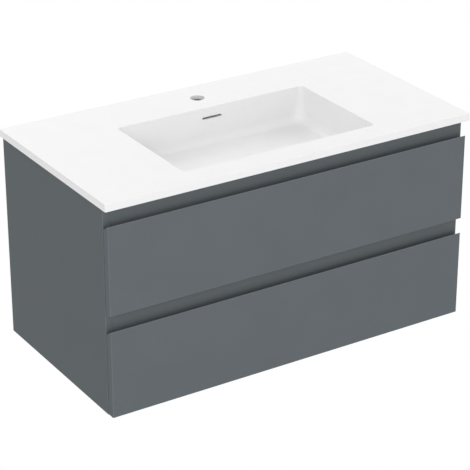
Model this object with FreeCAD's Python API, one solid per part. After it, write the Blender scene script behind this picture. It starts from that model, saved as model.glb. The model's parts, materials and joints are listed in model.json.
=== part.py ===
import FreeCAD, Part
import math
import os

from FreeCAD import Vector

# Wall-hung vanity cabinet: a lacquered carcass with two handleless drawers on telescopic
# runners, under a thin basin slab with a rectangular bowl. Millimetres, +Z up, front towards
# -Y. The origin is below the middle of the slab, on the plane of the carcass underside.

# Overall sizes
carcass_width = 988.0
carcass_height = 518.0
carcass_depth = 485.0
panel_thick = 16.0
rail_thick = 12.0

# Basin slab and bowl
slab_thick = 18.0
slab_plate_thick = 11.0
slab_seat_margin = 4.0
slab_pocket_corner = 12.0
slab_side_overhang = 6.0
slab_front_overhang = 5.0
slab_back_overhang = 5.0
slab_corner_radius = 3.0
slab_top_round = 1.2
bowl_width = 526.5
bowl_front_rim = 63.0
bowl_back_ledge = 143.5
bowl_depth = 90.0
bowl_fall = 6.0
bowl_wall = 9.0
bowl_side_draft = 6.0
bowl_end_draft = 5.0
bowl_top_corner = 10.0
bowl_low_corner = 38.0
bowl_floor_round = 20.0
tap_hole_radius = 17.5
tap_hole_behind_bowl = 67.5
overflow_width = 55.0
overflow_height = 6.0
overflow_drop = 27.0
slot_end_flat = 0.05
duct_width = 62.0
duct_gap = 9.0
duct_wall = 7.0
slot_wall = 4.0
duct_corner = 3.0
duct_floor = 3.0
channel_width = 30.0
channel_height = 5.0
boss_thick = 15.0
casing_round = 10.0
drain_margin = 8.0
drain_straight = 2.0
boss_margin = 6.0

# Waste
waste_hole_radius = 23.0
waste_shank_radius = 22.0
waste_shank_past_nut = 3.5
waste_tail_radius = 20.95
waste_bore_radius = 17.0
waste_flange_radius = 32.0
waste_flange_thick = 2.5
waste_flange_round = 1.0
waste_seal_thick = 1.5
waste_under_seal_thick = 3.0
waste_seal_margin = 1.0
waste_tail_length = 34.0
waste_nut_radius = 33.0
waste_nut_height = 9.0
plug_radius = 29.0
plug_thick = 4.0
plug_stem_radius = 4.0
plug_stem_length = 34.0
plug_edge_round = 1.8
plug_gasket_depth = 2.0
plug_gasket_clear = 1.0
window_width = 10.0
window_end_gap = 1.0
spider_height = 6.0
spider_above_stem_end = 4.0
spoke_thick = 3.0
spider_hub_wall = 3.5
grip_count = 12
grip_radius = 2.5

# Fronts and finger recesses
front_thick = 19.0
front_gap = 1.0
front_side_reveal = 1.5
front_edge_round = 0.8
recess_height = 40.0
bevel_drop = 13.0
bevel_land = 1.2
profile_wall = 1.5
profile_flange = 12.0
profile_bend = 1.5
profile_overlap = 4.5
profile_below_front = 24.5

# Drawer boxes
box_board = 12.0
box_floor = 8.0
box_floor_raise = 13.0
box_side_gap = 5.0
box_above_front_foot = 26.0
box_under_bowl = 20.0
box_under_profile = 9.5
box_ahead_of_rail = 22.5
siphon_half_width = 100.0
siphon_ahead_of_waste = 75.0

# Runners
runner_overlap = 20.0
sheet = 1.5
runner_clear = 0.3
rail_set_back = 8.0
tray_drop = 4.0
tray_flange_top = 34.0
tray_lip = 8.0
tray_past_cap = 4.0
cap_from_box = 2.0
cap_width = 22.0
cap_skirt = 1.0
middle_inset = 4.0
middle_clear = 1.5
roller_count = 5
roller_from_end = 14.0
clip_width = 20.0
clip_length = 54.0
clip_above_lip = 0.5
lever_width = 8.0
lever_height = 3.0
lever_length = 5.0
lever_gap = 1.0
screw_below_flange_top = 8.0

# Back rails, hangers and small fittings
back_rail_height = 100.0
back_rail_inset = 18.5
hanger_width = 58.0
hanger_height = 70.0
hanger_drop = 26.0
hanger_sheet = 2.0
hook_sheet = 2.5
hook_width = 30.0
fit_clear = 0.1
dowel_radius = 4.0
dowel_length = 30.0
dowel_in_side = 9.0
cam_radius = 7.5
cam_depth = 9.5
cam_from_edge = 24.0
bolt_radius = 3.0
bolt_in_front = 9.0
screw_radius = 1.75
screw_length = 13.0
screw_head_radius = 3.6
screw_head_height = 1.2
bumper_radius = 4.0
bumper_height = 0.7

# Where fixings sit, as shares of the depth, height or length of the piece that they hold
panel_dowel_shares = (0.15, 0.5, 0.85)
rail_dowel_shares = (0.25, 0.75)
bottom_cam_shares = (0.3, 0.7)
drawer_cam_shares = (0.3, 0.7)
flange_screw_shares = (0.08, 0.45, 0.9)
bracket_screw_shares = (0.27, 0.73)
adjuster_shares = (0.3, 0.7)
bumper_shares = (0.12, 0.82)
hook_tongue_share = 0.45

# Derived places
slab_width = carcass_width + 2 * slab_side_overhang
front_zone = front_thick + front_gap
slab_depth = slab_front_overhang + front_zone + carcass_depth + slab_back_overhang
slab_front = -slab_depth / 2
slab_back = slab_depth / 2
face_y = slab_front + slab_front_overhang
front_back_y = face_y + front_thick
panel_front = face_y + front_zone
panel_back = panel_front + carcass_depth
slab_under = carcass_height
slab_top = carcass_height + slab_thick
plate_under = slab_top - slab_plate_thick
half_carcass = carcass_width / 2
half_inside = half_carcass - panel_thick

front_height = (carcass_height - 2 * recess_height) / 2
lower_foot = 0.0
upper_foot = front_height + recess_height

bowl_front = slab_front + bowl_front_rim
bowl_back = slab_back - bowl_back_ledge
bowl_half = bowl_width / 2
drain_y = (bowl_front + bowl_back) / 2
floor_edge_z = slab_top - bowl_depth
drain_z = floor_edge_z - bowl_fall
bowl_underside = drain_z - bowl_wall
boss_foot = drain_z - boss_thick
tap_y = bowl_back + tap_hole_behind_bowl

web_front = panel_front
web_back = web_front + profile_wall
upper_profile_foot = upper_foot + front_height - profile_below_front
middle_profile_foot = lower_foot + front_height - profile_below_front

box_half = half_inside - box_side_gap
box_inner = box_half - box_board
back_rail_rear = panel_back - back_rail_inset
back_rail_front = back_rail_rear - panel_thick
box_back = back_rail_front - box_ahead_of_rail
siphon_front = drain_y - siphon_ahead_of_waste

lower_box_foot = lower_foot + box_above_front_foot
upper_box_foot = upper_foot + box_above_front_foot
lower_box_top = middle_profile_foot - box_under_profile
upper_box_top = bowl_underside - box_under_bowl
rail_front = panel_front + rail_set_back
rail_rear = box_back
rail_length = rail_rear - rail_front
drawer_travel = rail_length - runner_overlap

# Measured inwards from a side panel's inner face.
cap_near = box_side_gap + box_board + cap_from_box
cap_far = cap_near + cap_width
middle_near = cap_near + middle_inset
middle_far = cap_far - middle_inset
tray_width = cap_far + tray_past_cap

# Measured up from the underside of a drawer's sides.
tray_top = sheet - tray_drop
cap_under = box_floor_raise - sheet
middle_web = (tray_top + cap_under - sheet) / 2
clip_foot = tray_top - sheet + tray_lip + clip_above_lip

sides = {"left": -1, "right": 1}

# How far a cutting tool runs past a face, and how far a fused piece sinks into its neighbour.
past = 1.0
sink = 1.0


def block(x0, x1, y0, y1, z0, z1):
    low = Vector(min(x0, x1), min(y0, y1), min(z0, z1))
    return Part.makeBox(abs(x1 - x0), abs(y1 - y0), abs(z1 - z0), low)


def rod(x, y, z, radius, length, direction):
    return Part.makeCylinder(radius, length, Vector(x, y, z), direction)


def along(sign):
    return Vector(sign, 0, 0)


UP = Vector(0, 0, 1)
REARWARD = Vector(0, 1, 0)


def fuse(shapes):
    whole = shapes[0].multiFuse(shapes[1:]) if len(shapes) > 1 else shapes[0]
    return whole.removeSplitter()


def cut(shape, tools):
    return shape.cut(Part.makeCompound(tools)) if tools else shape


def export(node, shapes):
    group = shapes if isinstance(shapes, list) else [shapes]
    solids = [solid for shape in group for solid in shape.Solids]
    whole = solids[0] if len(solids) == 1 else Part.makeCompound(solids)
    whole.exportStep("parts/" + node + ".step")


def lying(edge, axis):
    # True where a straight edge runs along the given axis.
    if not isinstance(edge.Curve, Part.Line):
        return False
    return abs(edge.Curve.Direction.dot(axis)) > 0.999


def soften(shape, radius, pick):
    edges = [edge for edge in shape.Edges if pick(edge)]
    return shape.makeFillet(radius, edges) if edges else shape


# Fasteners shared by the carcass and the drawers

def screw_into_side(side, y, z, seat):
    # Flat-headed screw through a rail flange into a side panel; seat is the flange's face.
    out = along(side)
    head = rod(seat, y, z, screw_head_radius, screw_head_height, along(-side))
    shank = rod(seat, y, z, screw_radius, screw_length, out)
    return fuse([head, shank])


def screw_hole(side, y, z, seat):
    return rod(seat, y, z, screw_radius + fit_clear, screw_length + fit_clear, along(side))


def dowel(side, y, z):
    start = side * (half_inside + dowel_in_side)
    return rod(start, y, z, dowel_radius, dowel_length, along(-side))


def dowel_hole(side, y, z):
    start = side * (half_inside + dowel_in_side + fit_clear)
    length = dowel_length + 2 * fit_clear
    return rod(start, y, z, dowel_radius + fit_clear, length, along(-side))


# Carcass panels

back_rail_feet = {
    "upper": carcass_height - back_rail_height,
    "lower": panel_thick,
}
front_rail_foot = upper_profile_foot + profile_wall + profile_bend
front_rail_top = carcass_height
front_rail_y = web_back + rail_thick / 2

dowel_places = []
for share in panel_dowel_shares:
    dowel_places.append((panel_front + share * carcass_depth, panel_thick / 2))
for foot in back_rail_feet.values():
    for share in rail_dowel_shares:
        dowel_places.append(((back_rail_front + back_rail_rear) / 2, foot + share * back_rail_height))
dowel_places.append((front_rail_y, (front_rail_foot + front_rail_top) / 2))

bottom_cam_ys = [panel_front + share * carcass_depth for share in bottom_cam_shares]

flange_screw_ys = [rail_front + share * rail_length for share in flange_screw_shares]
box_feet = {"upper": upper_box_foot, "lower": lower_box_foot}
screw_rise = tray_flange_top - screw_below_flange_top


def carcass_panels():
    for name, side in sides.items():
        panel = block(side * half_inside, side * half_carcass, panel_front, panel_back, 0, carcass_height)
        panel = soften(panel, front_edge_round, lambda edge: lying(edge, UP))
        holes = [dowel_hole(side, y, z) for y, z in dowel_places]
        for foot in box_feet.values():
            for y in flange_screw_ys:
                holes.append(screw_hole(side, y, foot + screw_rise, side * half_inside))
        for z in bracket_screw_zs():
            holes.append(screw_hole(side, bracket_screw_y, z, side * half_inside))
        export("side_panel_" + name, cut(panel, holes))

    both = list(sides.values())
    holes = [dowel_hole(side, y, z) for side in both for y, z in dowel_places]
    floor = block(-half_inside, half_inside, panel_front, back_rail_rear, 0, panel_thick)
    pockets = [bottom_cam(side, y, fit_clear) for side in both for y in bottom_cam_ys]
    export("bottom_panel", cut(floor, holes + pockets))

    for name, foot in back_rail_feet.items():
        rail = block(-half_inside, half_inside, back_rail_front, back_rail_rear,
                     foot, foot + back_rail_height)
        bores = hanger_bores() if name == "upper" else []
        export("back_rail_" + name, cut(rail, holes + bores))

    rail = block(-half_inside, half_inside, web_back, web_back + rail_thick,
                 front_rail_foot, front_rail_top)
    export("front_rail", cut(rail, holes))

    export("carcass_dowels", [dowel(side, y, z) for side in both for y, z in dowel_places])
    export("cam_fittings", [bottom_cam(side, y, 0) for side in both for y in bottom_cam_ys])


def bottom_cam(side, y, clear):
    # Round connector let into the top face of the floor, beside the joint with a side panel.
    x = side * (half_inside - cam_from_edge)
    top = panel_thick
    return rod(x, y, top - cam_depth - clear, cam_radius + clear, cam_depth + clear, UP)


# Recess profiles behind the top edges of the drawer fronts

profile_end_gap = 0.2
bracket_length = 30.0
bracket_tab = 20.0
bracket_height = 30.0
bracket_sheet = 2.0
bracket_screw_behind_middle = 4.0
bracket_screw_y = web_back + bracket_length / 2 + bracket_screw_behind_middle
bracket_foot = middle_profile_foot + (recess_height + profile_below_front - bracket_height) / 2


def bracket_screw_zs():
    return [bracket_foot + share * bracket_height for share in bracket_screw_shares]


def profile(foot, top, with_top_flange):
    # Web flush with the carcass front; its lower edge, and the upper one where there is no
    # slab above, are bent towards the rear.
    reach = half_inside - profile_end_gap
    bend_heights = [foot, top] if with_top_flange else [foot]
    parts = [block(-reach, reach, web_front, web_back, foot, top)]
    for height in bend_heights:
        inward = profile_wall if height == foot else -profile_wall
        parts.append(block(-reach, reach, web_front, web_front + profile_flange,
                           height, height + inward))
    shape = fuse(parts)

    def bend(edge, y, heights):
        point = edge.Vertexes[0].Point
        return lying(edge, along(1)) and abs(point.y - y) < 1e-3 and \
            any(abs(point.z - height) < 1e-3 for height in heights)

    insides = [foot + profile_wall, top - profile_wall]
    shape = soften(shape, profile_bend, lambda edge: bend(edge, web_back, insides))
    return soften(shape, profile_bend + profile_wall,
                  lambda edge: bend(edge, web_front, bend_heights))


def recess_profiles():
    export("recess_profile_upper", profile(upper_profile_foot, slab_under - runner_clear, False))
    middle_top = upper_foot + profile_overlap
    export("recess_profile_middle", profile(middle_profile_foot, middle_top, True))

    brackets = []
    screws = []
    for side in sides.values():
        wall = side * half_inside
        top = bracket_foot + bracket_height
        plate = block(wall, wall - side * bracket_sheet, web_back, web_back + bracket_length,
                      bracket_foot, top)
        tab = block(wall, wall - side * bracket_tab, web_back, web_back + bracket_sheet,
                    bracket_foot, top)
        seat = wall - side * bracket_sheet
        places = bracket_screw_zs()
        holes = [screw_hole(side, bracket_screw_y, z, seat) for z in places]
        brackets.append(cut(fuse([plate, tab]), holes))
        screws += [screw_into_side(side, bracket_screw_y, z, seat) for z in places]
    export("profile_brackets", brackets)
    export("bracket_screws", screws)


def front_bumpers():
    # Clear dots on the carcass front edges that the closed fronts rest against.
    dots = []
    for foot in (lower_foot, upper_foot):
        for share in bumper_shares:
            for side in sides.values():
                x = side * (half_inside + panel_thick / 2)
                start = panel_front - bumper_height
                dots.append(rod(x, start, foot + share * front_height, bumper_radius,
                                bumper_height, REARWARD))
    export("front_bumpers", dots)


# Wall hangers in the space behind the upper back rail

hanger_wall_gap = 1.0
hook_from_rear = 4.0
hook_lip = 12.0
adjuster_radius = 3.0
adjuster_head_radius = 5.0
adjuster_head_height = 3.0
adjuster_slot_width = 1.2
adjuster_slot_length = 7.0
hanger_top = carcass_height - hanger_drop
hanger_front = back_rail_rear
hanger_rear = panel_back - hanger_wall_gap
hook_front = hanger_rear - hook_from_rear
hook_rear = slab_back - hanger_wall_gap


def hanger_centre(side):
    return side * (half_inside - hanger_width / 2)


def adjuster_places():
    # Height and depth adjusters, one above the other on each hanger.
    return [(hanger_centre(side), hanger_top - share * hanger_height)
            for side in sides.values() for share in adjuster_shares]


def hanger_bores():
    return [rod(x, back_rail_front - past, z, adjuster_radius + fit_clear,
                panel_thick + 2 * past, REARWARD)
            for x, z in adjuster_places()]


def hangers():
    housings = []
    hooks = []
    foot = hanger_top - hanger_height
    for side in sides.values():
        x = hanger_centre(side)
        half = hanger_width / 2
        shell = block(x - half, x + half, hanger_front, hanger_rear, foot, hanger_top)
        inside = block(x - half + hanger_sheet, x + half - hanger_sheet,
                       hanger_front + hanger_sheet, hanger_rear + past,
                       foot + hanger_sheet, hanger_top - hanger_sheet)
        bores = [rod(px, hanger_front - past, pz, adjuster_radius + fit_clear,
                     hanger_sheet + 2 * past, REARWARD)
                 for px, pz in adjuster_places()]
        housings.append(cut(shell, [inside] + bores))

        hook_half = hook_width / 2
        hook_foot = foot + hanger_sheet + runner_clear
        hook_top = hanger_top - hanger_sheet - runner_clear
        tongue_z = foot + hook_tongue_share * hanger_height
        plate = block(x - hook_half, x + hook_half, hook_front, hook_front + hook_sheet,
                      hook_foot, hook_top)
        tongue = block(x - hook_half, x + hook_half, hook_front, hook_rear,
                       tongue_z, tongue_z + hook_sheet)
        lip = block(x - hook_half, x + hook_half, hook_rear - hook_sheet, hook_rear,
                    tongue_z - hook_lip, tongue_z)
        hooks.append(fuse([plate, tongue, lip]))
    export("hanger_housings", housings)
    export("hanger_hooks", hooks)

    screws = []
    length = hook_front - runner_clear - back_rail_front
    for x, z in adjuster_places():
        head = rod(x, back_rail_front - adjuster_head_height, z, adjuster_head_radius,
                   adjuster_head_height, REARWARD)
        shank = rod(x, back_rail_front, z, adjuster_radius, length, REARWARD)
        slot_half = adjuster_slot_width / 2
        slot_reach = adjuster_slot_length / 2
        slot = block(x - slot_half, x + slot_half, back_rail_front - adjuster_head_height,
                     back_rail_front - adjuster_head_height / 2, z - slot_reach, z + slot_reach)
        screws.append(cut(fuse([head, shank]), [slot]))
    export("hanger_adjusters", screws)


# Basin

def rounded_loop(x0, x1, y0, y1, radius, z):
    quarter = math.pi / 2
    corners = [(x1 - radius, y1 - radius, 0), (x0 + radius, y1 - radius, 1),
               (x0 + radius, y0 + radius, 2), (x1 - radius, y0 + radius, 3)]
    arcs = []
    for x, y, turn in corners:
        points = [Vector(x + radius * math.cos(angle), y + radius * math.sin(angle), z)
                  for angle in (turn * quarter, (turn + 0.5) * quarter, (turn + 1) * quarter)]
        arcs.append(Part.Arc(*points).toShape())
    edges = []
    for index, arc in enumerate(arcs):
        following = arcs[(index + 1) % len(arcs)]
        edges.append(arc)
        edges.append(Part.makeLine(arc.Vertexes[-1].Point, following.Vertexes[0].Point))
    return Part.Wire(Part.__sortEdges__(edges))


def tub(grow, top, floor):
    # Tapered bowl form: straight drafted walls whose corners widen towards the floor, and a
    # shallow fall to a square round the drain. grow swells it from the inner to the outer skin.
    def loop(depth_share, z):
        side = bowl_side_draft * depth_share
        end = bowl_end_draft * depth_share
        corner = bowl_top_corner + (bowl_low_corner - bowl_top_corner) * depth_share
        return rounded_loop(-bowl_half + side - grow, bowl_half - side + grow,
                            bowl_front + end - grow, bowl_back - end + grow, corner + grow, z)

    share = (slab_top - top) / bowl_depth
    walls = Part.makeLoft([loop(share, top), loop(1.0, floor)], True, True)
    square = waste_flange_radius + drain_margin + grow
    near_drain = rounded_loop(-square, square, drain_y - square, drain_y + square,
                              square - drain_straight, floor - bowl_fall)
    falls = Part.makeLoft([loop(1.0, floor), near_drain], True, True)
    whole = walls.fuse(falls)

    def foot_edge(edge):
        box = edge.BoundBox
        return abs(box.ZMin - floor) < 1e-3 and abs(box.ZMax - floor) < 1e-3

    return soften(whole, bowl_floor_round + grow, foot_edge)


def basin():
    slab = block(-slab_width / 2, slab_width / 2, slab_front, slab_back, slab_under, slab_top)
    slab = soften(slab, slab_corner_radius, lambda edge: lying(edge, UP))

    # The slab is thinner between the panels and rails that it rests on.
    reach = half_inside - slab_seat_margin
    pocket = block(-reach, reach, web_back + rail_thick + slab_seat_margin,
                   back_rail_front - slab_seat_margin, slab_under - past, plate_under)
    slab = slab.cut(soften(pocket, slab_pocket_corner, lambda edge: lying(edge, UP)))

    outer = tub(bowl_wall, plate_under + sink, floor_edge_z - bowl_wall)
    duct_back = bowl_back + bowl_wall + duct_gap
    half_duct = duct_width / 2
    casing_half = half_duct + duct_wall
    casing_foot = boss_foot
    casing = block(-casing_half, casing_half, drain_y, duct_back + duct_wall,
                   casing_foot, plate_under + sink)
    casing = soften(casing, casing_round, lambda edge: edge.BoundBox.ZMin < casing_foot + 1e-3
                    and edge.BoundBox.YMin > drain_y + sink)
    boss = rod(0, drain_y, boss_foot, waste_nut_radius + boss_margin, boss_thick, UP)
    body = slab.fuse([outer, casing, boss])
    body = body.cut(tub(0.0, slab_top, floor_edge_z))

    duct_front = bowl_back + slot_wall
    slot_z = slab_top - overflow_drop
    duct_foot = boss_foot + duct_floor
    chimney = block(-half_duct, half_duct, duct_front, duct_back,
                    duct_foot, slot_z + overflow_height)
    chimney = soften(chimney, duct_corner, lambda edge: lying(edge, UP))
    channel = block(-channel_width / 2, channel_width / 2, drain_y, duct_front + past,
                    duct_foot, duct_foot + channel_height)
    slot_half = overflow_width / 2
    slot = block(-slot_half, slot_half, bowl_back - bowl_end_draft, duct_front + past,
                 slot_z - overflow_height / 2, slot_z + overflow_height / 2)
    slot = soften(slot, overflow_height / 2 - slot_end_flat, lambda edge: lying(edge, REARWARD))

    flange_seat = waste_flange_thick + waste_seal_thick
    recess = rod(0, drain_y, drain_z - flange_seat, waste_flange_radius + runner_clear,
                 flange_seat + bowl_fall, UP)
    waste_hole = rod(0, drain_y, boss_foot - past, waste_hole_radius, boss_thick + 2 * past, UP)
    tap_hole = rod(0, tap_y, slab_under - past, tap_hole_radius, slab_thick + 2 * past, UP)
    body = body.cut([chimney, channel, slot, recess, waste_hole, tap_hole]).removeSplitter()

    def rim(edge):
        box = edge.BoundBox
        return box.ZMin > slab_top - 1e-3

    export("basin", soften(body, slab_top_round, rim))


# Click-clack waste

def waste():
    seat_z = drain_z - waste_flange_thick - waste_seal_thick
    flange_z = seat_z + waste_seal_thick
    under_seal_z = boss_foot - waste_under_seal_thick
    nut_z = under_seal_z - waste_nut_height
    shank_z = nut_z - waste_shank_past_nut
    tail_z = shank_z - waste_tail_length
    disc = rod(0, drain_y, flange_z, waste_flange_radius, waste_flange_thick, UP)
    flange_top = flange_z + waste_flange_thick
    disc = soften(disc, waste_flange_round, lambda edge: edge.BoundBox.ZMin > flange_top - 1e-3)
    shank = rod(0, drain_y, shank_z, waste_shank_radius, flange_z - shank_z, UP)
    tail = rod(0, drain_y, tail_z, waste_tail_radius, waste_tail_length, UP)
    bore = rod(0, drain_y, tail_z - past, waste_bore_radius, flange_top - tail_z + 2 * past, UP)
    half_window = window_width / 2
    windows = block(-waste_hole_radius, waste_hole_radius, drain_y - half_window,
                    drain_y + half_window, boss_foot + window_end_gap, seat_z - window_end_gap)
    shell = cut(fuse([disc, shank, tail]), [bore, windows])
    spider_z = flange_z - plug_stem_length + spider_above_stem_end
    reach = waste_bore_radius + sink
    half_spoke = spoke_thick / 2
    spokes = [block(-reach, reach, drain_y - half_spoke, drain_y + half_spoke,
                    spider_z, spider_z + spider_height),
              block(-half_spoke, half_spoke, drain_y - reach, drain_y + reach,
                    spider_z, spider_z + spider_height),
              rod(0, drain_y, spider_z, plug_stem_radius + spider_hub_wall, spider_height, UP)]
    guide = rod(0, drain_y, spider_z - past, plug_stem_radius + runner_clear,
                spider_height + 2 * past, UP)
    export("waste_body", fuse([shell] + spokes).cut(guide))

    def ring(z, height, outer, inner):
        hole = rod(0, drain_y, z - past, inner, height + 2 * past, UP)
        return rod(0, drain_y, z, outer, height, UP).cut(hole)

    inner = waste_shank_radius + fit_clear
    seal_radius = waste_flange_radius - waste_seal_margin
    export("waste_top_seal", ring(seat_z, waste_seal_thick, seal_radius, inner))
    export("waste_under_seal", ring(under_seal_z, waste_under_seal_thick, seal_radius, inner))
    nut = ring(nut_z, waste_nut_height, waste_nut_radius, inner)
    grips = []
    for index in range(grip_count):
        angle = 2 * math.pi * index / grip_count
        x = waste_nut_radius * math.cos(angle)
        y = drain_y + waste_nut_radius * math.sin(angle)
        grips.append(rod(x, y, nut_z - past, grip_radius, waste_nut_height + 2 * past, UP))
    export("waste_nut", cut(nut, grips))

    plug_z = flange_top + runner_clear
    cap = rod(0, drain_y, plug_z, plug_radius, plug_thick, UP)
    plug_top = plug_z + plug_thick
    cap = soften(cap, plug_edge_round, lambda edge: edge.BoundBox.ZMin > plug_top - 1e-3)
    stem = rod(0, drain_y, plug_z - plug_stem_length, plug_stem_radius, plug_stem_length, UP)
    gasket_seat = rod(0, drain_y, plug_z - plug_gasket_depth,
                      waste_bore_radius - plug_gasket_clear, plug_gasket_depth, UP)
    export("waste_plug", fuse([cap, stem, gasket_seat]))


# Runners: a tray on the side panel, a middle rail and a cap under the drawer floor

def strip(side, near, far, low, high, y0, y1):
    # Straight bar; near and far are measured inwards from the side panel.
    return block(side * (half_inside - near), side * (half_inside - far), y0, y1, low, high)


def cabinet_rail(side, foot):
    y0 = rail_front
    y1 = rail_rear
    low = foot - tray_drop
    parts = [
        strip(side, 0, sheet, low, foot + tray_flange_top, y0, y1),
        strip(side, 0, tray_width, low, low + sheet, y0, y1),
        strip(side, tray_width - sheet, tray_width, low, low + tray_lip, y0, y1),
    ]
    seat = side * (half_inside - sheet)
    holes = [rod(seat - side * past, y, foot + screw_rise, screw_radius + fit_clear,
                 sheet + 2 * past, along(side))
             for y in flange_screw_ys]
    return cut(fuse(parts), holes)


def drawer_rail(side, foot):
    y0 = rail_front
    y1 = rail_rear
    top = foot + box_floor_raise
    return fuse([
        strip(side, cap_near, cap_far, top - sheet, top, y0, y1),
        strip(side, cap_near, cap_near + sheet, foot + cap_skirt, top, y0, y1),
        strip(side, cap_far - sheet, cap_far, foot + cap_skirt, top, y0, y1),
    ])


def middle_rail(side, foot):
    y0 = rail_front
    y1 = rail_rear
    low = foot + tray_top + middle_clear
    high = foot + cap_under - middle_clear
    web = foot + middle_web
    return fuse([
        strip(side, middle_near, middle_near + sheet, low, high, y0, y1),
        strip(side, middle_far - sheet, middle_far, low, high, y0, y1),
        strip(side, middle_near, middle_far, web, web + sheet, y0, y1),
    ])


def rollers(side, foot):
    # Lower rollers run on the tray from the rear half; upper ones carry the cap on the front half.
    near = middle_near + sheet + runner_clear
    far = middle_far - sheet - runner_clear
    x = side * (half_inside - near)
    web = foot + middle_web
    tray = foot + tray_top
    cap = foot + cap_under
    lower_radius = (web - tray) / 2 - runner_clear
    upper_radius = (cap - web - sheet) / 2 - runner_clear
    shared_length = rail_length - drawer_travel / 2
    pitch = (shared_length - 2 * roller_from_end) / (roller_count - 1)
    group = []
    for index in range(roller_count):
        step = roller_from_end + index * pitch
        rear_y = rail_rear - step
        front_y = rail_front + step
        group.append(rod(x, rear_y, (web + tray) / 2, lower_radius, far - near, along(-side)))
        group.append(rod(x, front_y, (web + sheet + cap) / 2, upper_radius, far - near, along(-side)))
    return group


def runners():
    screws = []
    for level, foot in box_feet.items():
        for name, side in sides.items():
            label = level + "_" + name + "_"
            export(label + "cabinet_rail", cabinet_rail(side, foot))
            export(label + "middle_rail", middle_rail(side, foot))
            export(label + "rollers", rollers(side, foot))
            export(label + "drawer_rail", drawer_rail(side, foot))
            seat = side * (half_inside - sheet)
            screws += [screw_into_side(side, y, foot + screw_rise, seat) for y in flange_screw_ys]
    export("rail_screws", screws)


# Drawers

def drawer_front(foot):
    # Top edge bevelled down to the back, so that fingers can pull it.
    top = foot + front_height
    outline = [(face_y, foot), (face_y, top), (face_y + bevel_land, top),
               (front_back_y, top - bevel_drop), (front_back_y, foot)]
    half = half_carcass - front_side_reveal
    points = [Vector(-half, y, z) for y, z in outline]
    face = Part.Face(Part.makePolygon(points + points[:1]))
    front = face.extrude(Vector(2 * half, 0, 0))

    def shown(edge):
        box = edge.BoundBox
        on_face = box.YMax < face_y + 1e-3
        return on_face and (lying(edge, UP) or lying(edge, along(1)) and box.ZMax < top - sink)

    return soften(front, front_edge_round, shown)


def side_cams(side, foot, top, clear):
    # Cams in the inner face of a drawer side, level with the bolts from the front.
    depth = cam_depth + clear
    shapes = []
    for share in drawer_cam_shares:
        z = foot + box_floor_raise + box_floor + share * (top - foot - box_floor_raise - box_floor)
        y = front_back_y + cam_from_edge
        shapes.append(rod(side * box_inner, y, z, cam_radius + clear, depth, along(side)))
    return shapes


def front_bolts(side, foot, top, clear):
    shapes = []
    length = bolt_in_front + cam_from_edge - cam_radius
    for share in drawer_cam_shares:
        z = foot + box_floor_raise + box_floor + share * (top - foot - box_floor_raise - box_floor)
        x = side * (box_inner + box_board / 2)
        start = front_back_y - bolt_in_front - clear
        shapes.append(rod(x, start, z, bolt_radius + clear, length + clear, REARWARD))
    return shapes


def rail_clip(side, foot):
    # Plastic catch under the drawer floor, with a release lever towards the front.
    near = cap_far + runner_clear
    low = foot + clip_foot
    body_front = front_back_y + lever_length + lever_gap
    body = strip(side, near, near + clip_width, low, foot + box_floor_raise,
                 body_front, body_front + clip_length)
    lever_near = near + (clip_width - lever_width) / 2
    lever_low = low + lever_gap
    lever = strip(side, lever_near, lever_near + lever_width, lever_low, lever_low + lever_height,
                  body_front - lever_length, body_front)
    return fuse([body, lever])


def drawer(level, foot, top, front_foot, siphon):
    floor_under = foot + box_floor_raise
    floor_top = floor_under + box_floor
    both = list(sides.values())

    bolts = [shape for side in both for shape in front_bolts(side, foot, top, 0)]
    bolt_holes = [shape for side in both for shape in front_bolts(side, foot, top, fit_clear)]
    cams = [shape for side in both for shape in side_cams(side, foot, top, 0)]
    cam_holes = [shape for side in both for shape in side_cams(side, foot, top, fit_clear)]

    export(level + "_front", cut(drawer_front(front_foot), bolt_holes))
    for name, side in sides.items():
        board = block(side * box_inner, side * box_half, front_back_y, box_back, foot, top)
        export(level + "_side_" + name, cut(board, bolt_holes + cam_holes))
    export(level + "_front_bolts", bolts)
    export(level + "_front_cams", cams)

    floor = block(-box_inner, box_inner, front_back_y, box_back, floor_under, floor_top)
    bay = siphon_half_width
    if siphon:
        notch = block(-bay, bay, siphon_front, box_back + past, floor_under - past, floor_top + past)
        floor = cut(floor, [notch])
        for name, side in sides.items():
            export(level + "_back_" + name,
                   block(side * (bay + box_board), side * box_inner, box_back - box_board, box_back,
                         floor_top, top))
            export("siphon_wall_" + name,
                   block(side * bay, side * (bay + box_board), siphon_front, box_back,
                         floor_top, top))
        reach = bay + box_board
        export("siphon_wall_front", block(-reach, reach, siphon_front - box_board, siphon_front,
                                          floor_top, top))
    else:
        export(level + "_back", block(-box_inner, box_inner, box_back - box_board, box_back,
                                      floor_top, top))
    export(level + "_bottom", floor)

    export(level + "_rail_clips", [rail_clip(side, foot) for side in both])


def main():
    os.makedirs("parts", exist_ok=True)
    carcass_panels()
    recess_profiles()
    front_bumpers()
    hangers()
    basin()
    waste()
    runners()
    drawer("upper", upper_box_foot, upper_box_top, upper_foot, True)
    drawer("lower", lower_box_foot, lower_box_top, lower_foot, False)
    print("slab", slab_width, slab_depth, "height", slab_top)


main()
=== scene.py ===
import json
import math

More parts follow.
